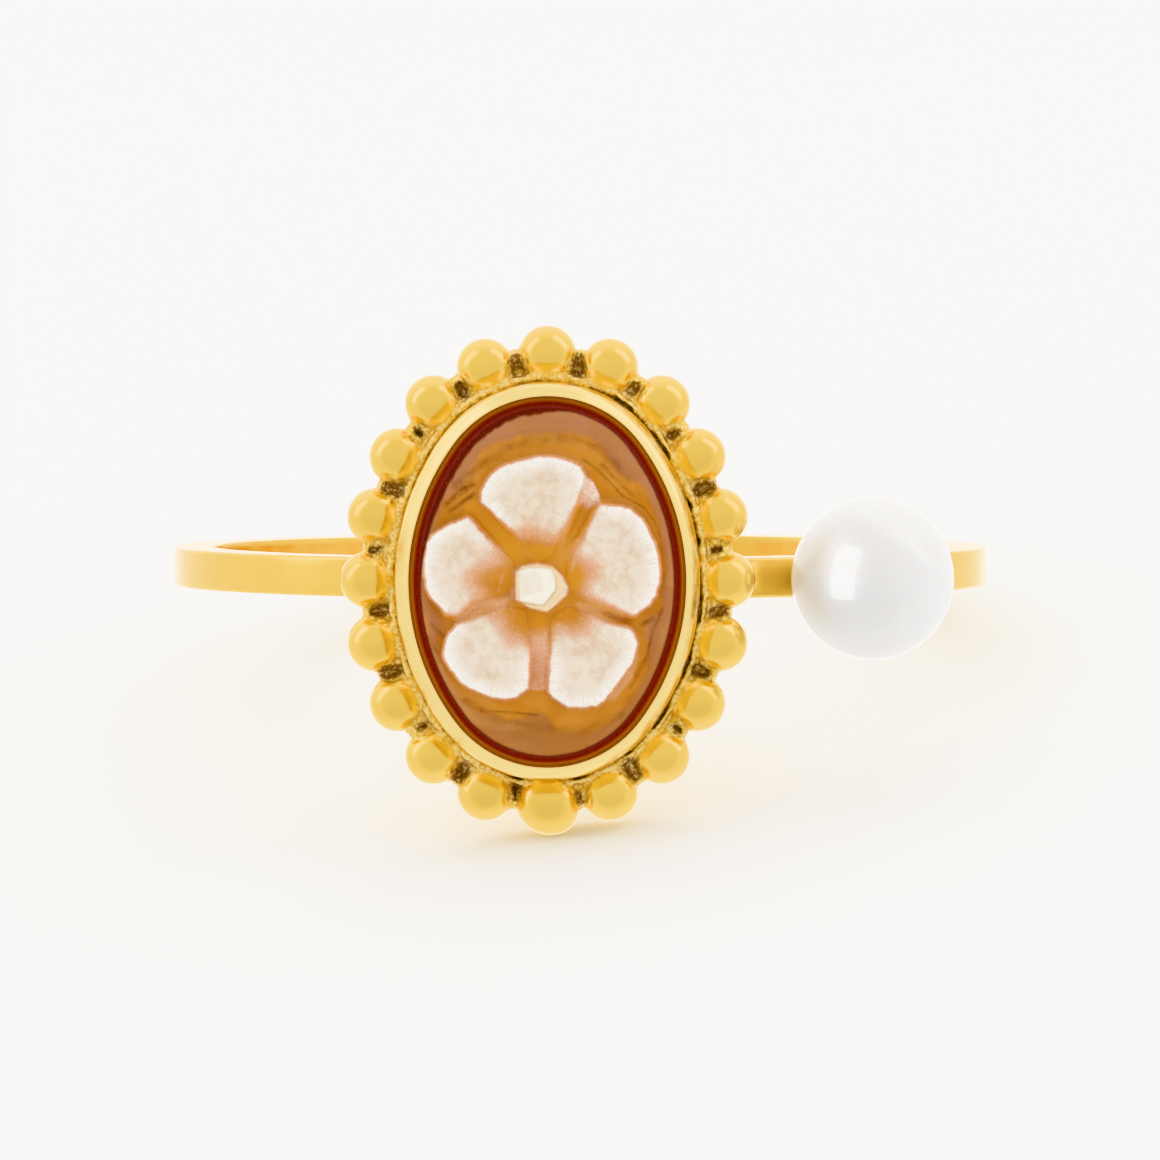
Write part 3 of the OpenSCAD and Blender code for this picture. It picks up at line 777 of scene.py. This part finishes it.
def carve(x, y, from_edge):
    """Height of the carved face, and what its colours need, at points from the flower's middle."""
    flat = np.zeros(x.shape)
    r = np.hypot(x, y)
    a = np.arctan2(y, x)
    drift = noise(x * 2.4, y * 2.4, flat, 30)
    layer, white, rim, along, clear, stroke_shade, dent = (flat.copy() for _ in range(7))
    side, outside = flat - FAR, flat + FAR
    for k, (outline, start, slope, course, ends, reach, width, growth) in enumerate(PETALS):
        gap, flank, place = outline_distance(x, y, outline)
        gap = gap + 0.012 * noise(place * 9, flat + k, flat, 35)
        across = y * math.cos(math.radians(course)) - x * math.sin(math.radians(course))
        root = (r + 0.07 * drift - ends - reach * np.exp(-((across / width) ** 2))) / growth
        share = rounded(gap / flank / 2 + 0.5)
        # The outer edges are cut steeply, and have a lip and a bright rim
        outer = ease((0.17 - flank) / 0.08)
        lip = np.exp(-(((gap - 0.1) / 0.1) ** 2)) * outer
        layer = np.maximum(layer, (PETAL_RISE + PETAL_LIP * lip) * share * ease((r - start) / slope))
        soft = flank + 0.16 * (1 - ease((r - 0.9) / 0.7))
        cover = np.maximum(ease(gap / soft / 1.5 + 0.5), 0.3 * ease((gap + 0.11) / 0.09))
        white = np.maximum(white, ease(root) * cover)
        nearer = gap > side
        side = np.where(nearer, gap, side)
        rim = np.where(nearer, (1 - ease(gap / 0.44)) * (0.25 + 0.75 * outer) * ease(root / 0.8 - 0.4), rim)
        along = np.where(nearer, place + 20 * k, along)
        outside = smooth_min(outside, -gap, 0.35)
    for outline, height, whiteness in VEILS:
        gap, flank, _ = outline_distance(x, y, outline)
        cover = ease(gap / flank + 0.5)
        layer = np.maximum(layer, height * cover)
        white = np.maximum(white, whiteness * cover * (1 + 0.3 * drift))
    skirt, flank, _ = outline_distance(x, y, BOSS_SKIRT)
    top, steep, _ = outline_distance(x, y, BOSS_TOP)
    boss = ease(top / steep + 0.5)
    cover = ease(skirt / flank + 0.5)
    layer = np.maximum(layer, SKIRT_RISE * cover + BOSS_RISE * boss)
    white = np.maximum(white, cover * (0.9 + 0.1 * boss))
    facet, steep, _ = outline_distance(x, y, BOSS_FACET)
    facet = ease(facet / steep + 0.5) * boss
    degrees = np.degrees(a) % 360
    reach = np.interp(degrees, *np.array(AMBER_REACH).T)
    reach = reach + 0.09 * noise(x * 1.7, y * 1.7, flat, 31) + 0.05 * noise(x * 5, y * 5, flat, 32)
    amber = ease((reach - outside) / 0.2 + 0.5) * ease((from_edge - 0.06) / 0.2)
    for points, width, share in CLEAR_CHANNELS:
        clear = np.maximum(clear, share * (1 - ease((line_distance(x, y, points) - width) / 0.14)))
    for points, width, share in GLINTS:
        mark = np.exp(-(((line_distance(x, y, points) + 0.02 * drift) / width) ** 2))
        mark = mark * (0.8 + 0.4 * noise(x * 9, y * 9, flat, 36))
        white = np.maximum(white, share * mark * (skirt < 0))
    # The strokes' dents are real, and their darkness is partly painted shade
    for points, width, dark, depth in STROKES:
        gap = line_distance(x, y, points) + 0.3 * width * drift
        mark = np.exp(-((gap / width) ** 2))
        stroke_shade = np.maximum(stroke_shade, dark * mark)
        dent = dent + depth * mark
    sweep = noise(outside * 9, degrees * 0.05, flat, 33) * ease(outside / 0.1)
    ground = GROUND_CUT * ease((from_edge - CUT_MARGIN) / CUT_SLOPE) + AMBER_CUT * amber * ease(outside / 0.05)
    uneven = 0.006 * noise(x * 3, y * 3, flat, 34) + 0.004 * sweep
    height = FIELD_H - ground + layer - dent + uneven * ease(from_edge / 0.2)
    fields = {"white": white, "rim": rim, "amber": amber, "clear": clear, "stroke_shade": stroke_shade, "sweep": sweep}
    # The boss's left facet is a little less white, painted shade
    fields["boss"] = boss * (skirt > 0) * (1 - 0.45 * facet)
    fields["skirt"] = cover * (1 - boss)
    return height, fields, side, along


# The bevel's side. Columns: place across it, from -1 at the inner edge to 0, and share of the way down
BEVEL_LINE = [
    (-0.985, 0.004), (-0.9, 0.06), (-0.7, 0.27), (-0.45, 0.54), (-0.2, 0.79), (-0.06, 0.95), (-0.01, 1.02),
]
# How far below the girdle its rounding ends, and the rounding at the stone's back
GIRDLE_SOFT, BACK_EDGE = 0.06, 0.04
# How far the dark layer shows beyond the bevel's inner edge, how unevenly, and more of both towards one side
DARK_IN, DARK_WAVE, DARK_IN_MORE, DARK_WAVE_MORE, DARK_TOWARD = 0.012, 0.01, 0.11, 0.035, math.radians(128)


def make_cameo(material):
    """The carved stone: rings of points round the flower's middle, then the bevel, the girdle and the back."""
    sectors, rings = 640, 125
    normals = even_normals(sectors, -BEVEL_W)
    rays = oval_point(normals, -BEVEL_W) - FLOWER_MID
    edge = np.linalg.norm(rays, axis=1)
    # The rings lie closer together near the middle, and the last one is on the bevel's inner edge
    share = np.linspace(0, 1, rings)[1:]
    share = 0.995 * (share - 0.12 * np.sin(math.pi * share) * (1 - share))
    share = np.append(share, 1.0)
    r = share[:, None] * edge[None, :]
    x = (r * rays[:, 0] / edge).ravel()
    y = (r * rays[:, 1] / edge).ravel()
    x, y = np.append(x, 0.0), np.append(y, 0.0)
    d, around = oval_distance(x + FLOWER_MID[0], y + FLOWER_MID[1])
    inside = -d - BEVEL_W
    height, values, side, along = carve(x, y, inside)
    face = np.stack([x + FLOWER_MID[0], y + FLOWER_MID[1], height], 1)
    toward = ease((np.cos(around - DARK_TOWARD) - 0.55) / 0.4)
    torn = noise(around * 7, inside * 4, 0 * x, 41) * 0.7 + noise(around * 30, inside * 16, 0 * x, 42) * 0.3
    shows = DARK_IN + DARK_WAVE * torn + toward * (DARK_IN_MORE + DARK_WAVE_MORE * torn)
    dark = ease((shows - inside) / 0.06 + 0.5)
    wall = [(BEVEL_W * s, FIELD_H - (FIELD_H - GIRDLE_H) * f) for s, f in BEVEL_LINE]
    wall += [(0.0, h) for h in (GIRDLE_H - GIRDLE_SOFT, 1.1, STONE_BASE + BACK_EDGE)]
    wall += [(-BACK_EDGE, STONE_BASE)]
    count = sectors * rings
    rows = list(face[:count].reshape(rings, sectors, 3))
    rows += [np.column_stack([oval_point(normals, off), np.full(sectors, h)]) for off, h in wall]
    points, *faces = capped(rows, face[count], (0, 0, STONE_BASE))

    def spread(field, rest):
        """A field of the face as one of the whole stone, with the value rest off the face."""
        return np.concatenate([field[:count], np.full(len(points) - count - 2, rest), field[count:], [rest]])

    values = {key: spread(field, 0.0) for key, field in values.items()}
    values["dark"] = spread(dark, 1.0)
    across = np.repeat([1 + off / BEVEL_W for off, _ in wall], sectors)
    values["bevel"] = np.concatenate([np.zeros(count), across, [0, 1]])
    values["edge"] = np.stack([spread(along, 0.0), spread(side, -FAR), np.zeros(len(points))], 1)
    far = np.maximum(np.hypot(x, y), 0.05)
    values["ray"] = np.stack([spread(part, 0.0) for part in (x / far, y / far, far)], 1)
    make_piece("carved_cameo", head_to_world(points), *faces, "cameo", "shell", material, **values)


def cameo_material():
    """Carved shell: a white layer that thins to blush and then to the amber below, and a dark red bevel."""
    n = Nodes(bpy.data.materials.new("carved_shell"))
    where = n.position()
    split = n.node("ShaderNodeSeparateXYZ", {"Vector": n.attribute("edge", "Vector")}).outputs
    # Fine hatching across the petals' edges, and streaks from the flower's middle
    stretched = {"X": n.times(split[0], 22.0), "Y": n.times(split[1], 2.5)}
    hatch = n.noise(n.node("ShaderNodeCombineXYZ", stretched).outputs[0], 1.0, 2.0, 0.5)
    stretched = {0: n.attribute("ray", "Vector"), 1: (10.0, 10.0, 1.3)}
    streak = n.noise(n.node("ShaderNodeVectorMath", stretched, operation="MULTIPLY").outputs[0], 1.0, 4.0, 0.6)
    grain = n.noise(where, 17.0, 4.0, 0.65)
    speck = n.noise(where, 26.0, 2.0, 0.5)
    cloud = n.noise(where, 1.7, 3.0)
    keys = ("white", "rim", "amber", "clear", "stroke_shade", "boss", "skirt", "sweep", "dark", "bevel")
    field = {key: n.attribute(key) for key in keys}
    # How thick the white layer is, with a ragged edge
    ragged = n.times(n.minus(hatch, 0.5), 0.7)
    ragged = n.math("ADD", n.minus(grain, 0.5), ragged)
    near_edge = n.times(n.ramp(split[1], 0.3, 0.04), n.ramp(field["white"], 0.12, 0.5))
    reach = n.math("MULTIPLY_ADD", near_edge, 0.3, 0.1)
    white = n.math("MULTIPLY_ADD", ragged, reach, field["white"])
    streaked = n.times(field["white"], 0.7)
    white = n.math("MULTIPLY_ADD", n.minus(streak, 0.5), streaked, white)
    white = n.math("MINIMUM", white, n.times(field["white"], 3.0))
    # The ground: the outer field, and the amber that the flower is cut down to
    high = n.ramp(n.node("ShaderNodeSeparateXYZ", {"Vector": where}).outputs[2], -1.0, 7.0)
    high = n.math("MULTIPLY_ADD", n.ramp(cloud, 0.35, 0.65), -0.3, high)
    outer = n.mix(high, rgb(171, 115, 62), rgb(180, 125, 90))
    deep = n.mix(n.ramp(cloud, 0.38, 0.62), rgb(204, 141, 66), rgb(196, 131, 54))
    deep = n.mix(field["clear"], deep, rgb(208, 144, 58))
    ground = n.mix(field["amber"], outer, deep)
    ground = n.mix(n.ramp(field["sweep"], 0.1, 0.9, 0.0, 0.35), ground, rgb(208, 154, 92))
    mottle = n.noise(where, 4.5, 5.0, 0.65)
    # Strokes darkened in the ground, partly painted shade along the steps
    shaded_strokes = n.times(field["stroke_shade"], n.ramp(mottle, 0.4, 0.58, 1.25, 0.55))
    ground = n.mix(shaded_strokes, ground, rgb(118, 66, 20))
    # The white layer: blush where it is thin, cream where it is thick, brightest along the petals' edges
    blush = n.mix(n.ramp(cloud, 0.3, 0.7), rgb(219, 169, 137), rgb(214, 161, 122))
    cream = n.mix(n.ramp(cloud, 0.35, 0.7), rgb(225, 210, 191), rgb(214, 193, 168))
    cream = n.mix(n.ramp(mottle, 0.4, 0.62, 0.0, 0.5), cream, rgb(238, 229, 217))
    cream = n.mix(n.ramp(mottle, 0.5, 0.36, 0.0, 0.5), cream, rgb(216, 192, 170))
    lit = n.times(field["rim"], n.ramp(hatch, 0.32, 0.56, 0.45, 1.0))
    cream = n.mix(lit, cream, rgb(254, 251, 247))
    worked = n.times(n.ramp(split[1], 0.2, 0.04), n.ramp(mottle, 0.4, 0.55))
    cream = n.mix(n.times(worked, n.ramp(hatch, 0.4, 0.3, 0.0, 0.5)), cream, rgb(190, 168, 148))
    dusty = n.times(n.ramp(speck, 0.38, 0.3), n.ramp(split[1], 0.55, 0.15, 0.12, 0.5))
    cream = n.mix(dusty, cream, rgb(172, 160, 148))
    for key, least, tone in (("skirt", 0.6, rgb(243, 220, 178)), ("boss", 0.8, rgb(255, 251, 239))):
        share = n.times(field[key], n.ramp(mottle, 0.35, 0.6, least, 1.0))
        cream = n.mix(share, cream, tone)
    # Grey lines along the boss's lower and right edges, painted shade
    cream = n.mix(field["stroke_shade"], cream, rgb(150, 138, 120))
    dots = n.times(n.ramp(speck, 0.58, 0.68, 0.0, 0.55), n.ramp(field["white"], 0.02, 0.2))
    blush = n.mix(dots, blush, rgb(240, 214, 184))
    colour = n.mix(n.ramp(white, 0.02, 0.36), ground, blush)
    colour = n.mix(n.ramp(white, 0.28, 0.8), colour, cream)
    # The bevel: dark red, and orange where it meets the rim, a painted reflection of the gold rim made bright
    # against the shade under the rim
    dark = n.mix(n.ramp(field["bevel"], -0.02, 0.2), rgb(94, 26, 7), rgb(110, 20, 3))
    dark = n.mix(n.ramp(field["bevel"], 0.36, 0.58), dark, rgb(196, 78, 18))
    dark = n.mix(n.ramp(field["bevel"], 0.5, 0.68), dark, rgb(255, 190, 96))
    # Light reddish specks on the bevel are painted glints
    dark = n.mix(n.ramp(speck, 0.64, 0.7, 0.0, 0.5), dark, rgb(190, 90, 44))
    colour = n.mix(field["dark"], colour, dark)
    normal = n.bump(grain, 0.25, 0.00001)
    normal = n.bump(n.times(near_edge, hatch), 0.5, 0.000015, Normal=normal)
    n.shade(Base_Color=colour, Roughness=n.ramp(grain, 0.3, 0.7, 0.22, 0.34), Normal=normal)
    n.shade(IOR=1.5, Specular_IOR_Level=0.2)
    return n.owner


# ---- Pearl ----


def make_pearl(material):
    """The round pearl, half-drilled for the peg, from the bottom of its hole."""
    hole = PEG_R + PEARL_GAP
    centre = BAND_R + PEARL_R + PEARL_GAP
    bottom = BAND_R + PEG_L + PEARL_GAP
    start = math.asin(hole / PEARL_R)
    mouth = centre - PEARL_R * math.cos(start)
    profile = [(hole * k / 4, bottom) for k in (1, 2, 3, 4)]
    profile += [(hole, bottom + (mouth - bottom) * k / 8) for k in range(1, 8)]
    profile += arc(0, centre, PEARL_R, PEARL_R, start - math.pi / 2, math.pi / 2 - 0.02, 110)
    make_turned("round_pearl", profile, "pearl", "nacre", material)


def pearl_material():
    """White nacre: a soft body under a clear lustre, with faint drifts of pink and grey."""
    n = Nodes(bpy.data.materials.new("nacre"))
    where = n.position()
    drift = n.noise(where, 0.45, 3.0)
    tint = n.mix(n.ramp(drift, 0.35, 0.65), rgb(211, 213, 214), rgb(212, 211, 210))
    fine = n.noise(where, 14.0, 4.0)
    n.shade(Base_Color=tint, Roughness=n.ramp(fine, 0.3, 0.7, 0.3, 0.4), Normal=n.bump(fine, 0.04, 0.00001))
    n.shade(Subsurface_Weight=0.25, Subsurface_Scale=0.0006, Sheen_Weight=0.15)
    n.shade(Coat_Weight=0.6, Coat_Roughness=0.08)
    return n.owner


# ---- Camera, light and floor ----


# Focal length, sensor width and distance from the finger's axis, and the angle over the plane of the ring
LENS, SENSOR, CAMERA_D, CAMERA_LIFT = 275.6, 36.0, 200.0, math.radians(2.0)
# How far the picture's middle lies to the right of the axis and above it, in pixels, and pixels per millimetre
SHIFT_X, SHIFT_Y, PX_MM = -0.2, -15.0, 44.4


def make_camera():
    """The photograph's view: square to the ring's front and a little above its plane."""
    data = bpy.data.cameras.new("camera")
    data.lens, data.sensor_width = LENS, SENSOR
    data.clip_start, data.clip_end = 0.01, 10.0
    forward = np.array([0, math.cos(CAMERA_LIFT), -math.sin(CAMERA_LIFT)])
    up = np.array([0, math.sin(CAMERA_LIFT), math.cos(CAMERA_LIFT)])
    place = -CAMERA_D * forward + np.array([SHIFT_X / PX_MM, 0, 0]) + up * (SHIFT_Y / PX_MM)
    camera = bpy.data.objects.new("camera", data)
    bpy.context.scene.collection.objects.link(camera)
    basis = Matrix((Vector((1, 0, 0)), Vector(up), -Vector(forward))).transposed()
    camera.matrix_world = Matrix.Translation(Vector(ring_to_world([place])[0])) @ (REST_TURN @ basis).to_4x4()
    bpy.context.scene.camera = camera


def area_light(name, place, size, power):
    """A rectangular light that faces the ring and isn't seen itself."""
    data = bpy.data.lights.new(name, "AREA")
    data.shape = "RECTANGLE"
    data.size, data.size_y = size
    data.energy = power
    light = bpy.data.objects.new(name, data)
    bpy.context.scene.collection.objects.link(light)
    light.location = place
    target = Vector((0, 0, 0.003))
    light.rotation_euler = (Vector(place) - target).to_track_quat("Z", "Y").to_euler()
    light.visible_camera = False
    return light


def sky_light(world):
    """A soft studio all round: darker behind the camera, brightest at its sides, and a white backdrop."""
    n = Nodes(world, "Background")
    place = n.node("ShaderNodeTexCoord").outputs["Generated"]
    strength = 0.89
    # Columns: direction, where a part of the light starts and is full towards it, and its strength
    for direction, low, high, gain in (
        ((0.0, -0.96, 0.28), 0.5, 0.25, 0.24),
        ((0.0, -0.96, 0.28), -0.9, -0.98, 3.0),
        ((0.0, 0.88, 0.47), 0.5, 0.9, 0.6),
        ((0.0, 0.28, 0.96), -0.5, 0.6, 0.08),
        ((0.0, 0.5, -0.87), 0.35, 0.8, 0.3),
    ):
        toward = n.node("ShaderNodeVectorMath", {0: place, 1: direction}, operation="DOT_PRODUCT")
        strength = n.math("ADD", n.ramp(toward.outputs["Value"], low, high, 0.0, gain), strength)
    n.shade(Color=(1.0, 0.99, 0.97, 1), Strength=strength)


def make_stage():
    """The soft surroundings, a pale floor and the lights."""
    world = bpy.data.worlds.new("studio")
    bpy.context.scene.world = world
    sky_light(world)
    size = 0.8
    mesh = bpy.data.meshes.new("floor")
    corners = [(-size, -size, 0), (size, -size, 0), (size, size, 0), (-size, size, 0)]
    mesh.from_pydata(corners, [], [(0, 1, 2, 3)])
    floor = bpy.data.objects.new("floor", mesh)
    bpy.context.scene.collection.objects.link(floor)
    n = Nodes(bpy.data.materials.new("floor"))
    n.shade(Base_Color=(0.93, 0.93, 0.93, 1), Roughness=0.8, Specular_IOR_Level=0.1)
    mesh.materials.append(n.owner)
    floor.visible_glossy = False
    area_light("left", (-0.205, 0.0, 0.165), (0.08, 0.27), 0.15)
    area_light("right", (0.205, 0.0, 0.165), (0.08, 0.27), 0.15)
    top = area_light("top", (0.0, 0.3, 0.4), (0.5, 0.3), 0.8)
    top.visible_glossy = False
    # A strip that lights the pearl alone, for its long soft highlight
    strip = area_light("pearl_strip", (-0.172, -0.171, 0.11), (0.18, 0.38), 3.6)
    strip.visible_diffuse = False
    receivers = bpy.data.collections.new("pearl_light")
    receivers.objects.link(bpy.data.objects["round_pearl"])
    strip.light_linking.receiver_collection = receivers


polished = gold_material("polished_gold")
make_band(polished)
make_peg(polished)
make_cup(gold_material("painted_lift_gold", painted_lift=True))
make_border(gold_material("cast_gold", cast=True))
make_cameo(cameo_material())
make_pearl(pearl_material())
make_camera()
make_stage()
bpy.context.scene.view_settings.view_transform = "Khronos PBR Neutral"
